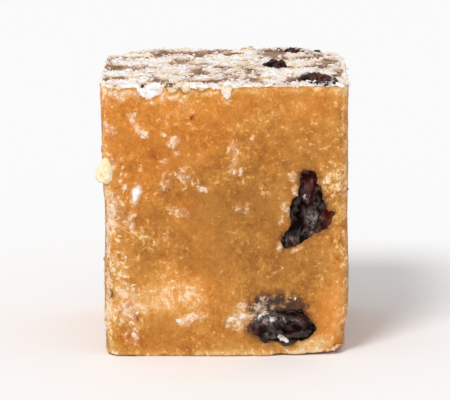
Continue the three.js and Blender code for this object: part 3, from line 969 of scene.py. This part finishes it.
def scatterFlakes(name, kind, weights):
    count, corners = kind["count"], 7
    angles = np.linspace(0, 2 * math.pi, corners, endpoint=False) + dice.uniform(-0.3, 0.3, (count, corners))
    radius = drawnSizes(kind) * dice.uniform(0.6, 1.25, (count, corners))
    narrow = dice.uniform(kind["narrow"], 1, (count, 1))
    ring = np.stack([radius * np.cos(angles), radius * np.sin(angles) * narrow], 2)
    thick = np.broadcast_to(dice.uniform(*kind["thick"], (count, 1, 1)), (count, corners, 1))
    upper = np.dstack([ring * 0.85, thick * dice.uniform(0.5, 1, (count, corners, 1))])
    form = np.concatenate([np.dstack([ring, -thick]), upper], 1), stackedSides(corners, 1)
    ids = chosen(weights, count)
    spots = points[ids] + normals[ids] * dice.uniform(-0.4, 1, (count, 1)) * kind["thick"][1]
    scatter(name, form, spots, normals[ids], kind["tilt"], sugarMaterial, False, kind["paler"])


thickly = (marks["crust"] > 0.5) * np.clip(marks["cover"] - 0.55, 0, 1) * ease(normals[:, 2], -0.2, 0.6)
scatterFlakes("sugarFlakes", crustFlakes, offRaisins * thickly)
scuffed = (sugary ** 1.5 + 0.02 * grainy) * bare
scatterFlakes("scuffFlakes", scuffFlakes, offRaisins * scuffed * np.clip(1 - 1.2 * marks["stain"], 0, 1))


def lumps(level, sizes, seed, roughness=0.35):
    # uneven lumps, each with its own shape; sizes is half the width of each along its three axes
    form = bmesh.new()
    bmesh.ops.create_icosphere(form, subdivisions=level, radius=1)
    corners = np.array([v.co for v in form.verts])
    sides = [[v.index for v in side.verts] for side in form.faces]
    form.free()
    shift = np.arange(len(sizes)) * 3.7
    moved = (corners[None] + shift[:, None, None]).reshape(-1, 3)
    swell = 1 + roughness * grain(moved, 1.1, seed, 3).reshape(len(sizes), -1, 1)
    return corners[None] * swell * sizes[:, None], sides


# rounded lumps of sugar on the crust and on the thickest scuffs, where they are smaller and browner
sugarLumps = {"count": 420, "size": (0.08 * mm, 0.3 * mm), "mostlySmall": 2.2, "shape": (1.3, 1.0, 0.7)}
sizes = drawnSizes(sugarLumps) * sugarLumps["shape"]
ids = chosen(offRaisins * (0.12 * marks["crust"] + 0.3 * np.clip(marks["sugar"] - 0.8, 0, 1)), len(sizes))
form = lumps(1, sizes * (0.6 + 0.4 * crusty[ids])[:, None], 401)
scatter("sugarLumps", form, points[ids], normals[ids], 0.6, sugarMaterial, paler=0.7 * crusty[ids] - 0.4)

# loose crystals of sugar everywhere, thickest on the crust and the scuffs
crystals = {"count": 3600, "size": (0.045 * mm, 0.15 * mm), "mostlySmall": 2, "strewn": 0.1 * mm}
sizes = drawnSizes(crystals) * dice.uniform(0.7, 1.3, (crystals["count"], 3))
weights = (0.05 + 0.95 * offRaisins) * (points[:, 2] > 0.3 * mm) * (
    0.0006 + 0.14 * marks["crust"] * np.clip(marks["cover"], 0, 1) + 0.14 * sugary ** 1.5 + 0.002 * grainy)
ids = chosen(weights, len(sizes))
spots = points[ids] + crystals["strewn"] * dice.uniform(-1, 1, sizes.shape) + normals[ids] * 0.02 * mm
box = np.array([(x, y, z) for z in (-1, 1) for x, y in square]) / 2
form = box[None] * sizes[:, None], stackedSides(4, 1)
paler = 0.8 * crusty[ids] + 0.2 * sugary[ids] - 0.45
scatter("sugarCrystals", form, spots, normals[ids], 1.2, sugarMaterial, False, paler)

# crumbs of fudge along the edges and on the scuffs
crumbs = {"count": 70, "size": (0.08 * mm, 0.26 * mm), "mostlySmall": 1.6, "shape": (1.2, 1.0, 0.75)}
sizes = drawnSizes(crumbs) * crumbs["shape"]
weights = offRaisins * (0.03 + upright + burr + 0.5 * sugary) * bare
ids = chosen(weights * (points[:, 2] > 0.5 * mm), len(sizes))
scatter("fudgeCrumbs", lumps(2, sizes, 402), points[ids], normals[ids], 0.5, crumbMaterial, paler=-0.35)

# the large pale crumb on the left front edge: its place and half its size in mm
bigCrumb = {"at": (-13.1, -11.6, 20.7), "half": (1.05, 0.85, 1.45)}
at, half = (np.array([bigCrumb[key]]) * mm for key in ("at", "half"))
scatter("bigCrumb", lumps(4, half, 403, 0.3), at, np.array([[0.0, 0, 1]]), 0, crumbMaterial, paler=0.5)

# torn bits of raisin on the crust: across, back from the middle, half width, half depth in mm
raisinBits = [
    (11.8, -9.6, 0.45, 0.5), (11.9, -11.4, 0.45, 0.45), (11, -11.8, 0.5, 0.45), (11.9, -10.5, 0.35, 0.3),
    (10.2, -11.7, 0.4, 0.35), (9.4, -11.2, 0.35, 0.3), (6.5, 9.9, 0.3, 0.5), (11, 9.9, 0.5, 0.3),
    (-9.1, -12.1, 0.2, 0.2),
]
at = np.array([bit[:2] for bit in raisinBits]) * mm
isTop = (points[:, 2] > 0.9 * rimHeight) & (normals[:, 2] > 0.3)
ids = np.array([(apart(points[:, :2], spot) - isTop).argmin() for spot in at])
sizes = np.array([(wide, deep, 0.3) for _, _, wide, deep in raisinBits]) * mm
form = lumps(3, sizes, 404, 0.5)
bits = scatter("raisinBits", form, points[ids], normals[ids], 0.2, raisinMaterial)
for key, value in (("sugar", 0.4), ("ridge", 0.6)):
    addValues(bits, key, np.full(len(bits.data.vertices), value))
print("sugar, crumbs and bits scattered")

# floor, light and camera
stage = {"reach": 3.0, "floorDrop": 0.02 * mm, "floorShade": 0.985, "worldLight": 0.6}
floorMesh = bpy.data.meshes.new("floor")
floorMesh.from_pydata([(x * stage["reach"], y * stage["reach"], 0) for x, y in square], [], [range(4)])
floor = put("floor", floorMesh)
floor.location.z = -stage["floorDrop"]
floorMaterial = bpy.data.materials.new("paleFloor")
floorMaterial.use_nodes = True
feed(floorMaterial.node_tree.nodes["Principled BSDF"],
     {"Base Color": (stage["floorShade"],) * 3 + (1,), "Roughness": 0.9})
floorMesh.materials.append(floorMaterial)

world = bpy.data.worlds.new("studio")
world.use_nodes = True
feed(world.node_tree.nodes["Background"], {0: (1, 1, 1, 1), 1: stage["worldLight"]})
bpy.context.scene.world = world


def aimed(name, data, kind):
    # looks at its aim from an azimuth, an elevation and a distance
    made = put(name, data)
    a, e = math.radians(kind["azimuth"]), math.radians(kind["elevation"])
    way = Vector((math.sin(a) * math.cos(e), -math.cos(a) * math.cos(e), math.sin(e)))
    made.location = Vector(kind["aim"]) + way * kind["distance"]
    made.rotation_euler = way.to_track_quat("Z", "Y").to_euler()
    return made


sun = {"azimuth": -30, "elevation": 46, "distance": 0.5, "aim": (0, 0, 0), "strength": 1.7, "softness": 18}
light = bpy.data.lights.new("keyLight", "SUN")
light.energy = sun["strength"]
light.angle = math.radians(sun["softness"])
aimed("keyLight", light, sun)

camera = {"azimuth": -1.0, "elevation": 12.0, "distance": 0.4, "aim": (0.0002, 0, 0.0151), "lens": 283,
          "sensor": 36, "nearest": 0.01}
view = aimed("camera", bpy.data.cameras.new("camera"), camera)
view.data.lens = camera["lens"]
view.data.sensor_width = camera["sensor"]
view.data.clip_start = camera["nearest"]
bpy.context.scene.camera = view
bpy.context.scene.view_settings.view_transform = "Standard"
print("stage set")
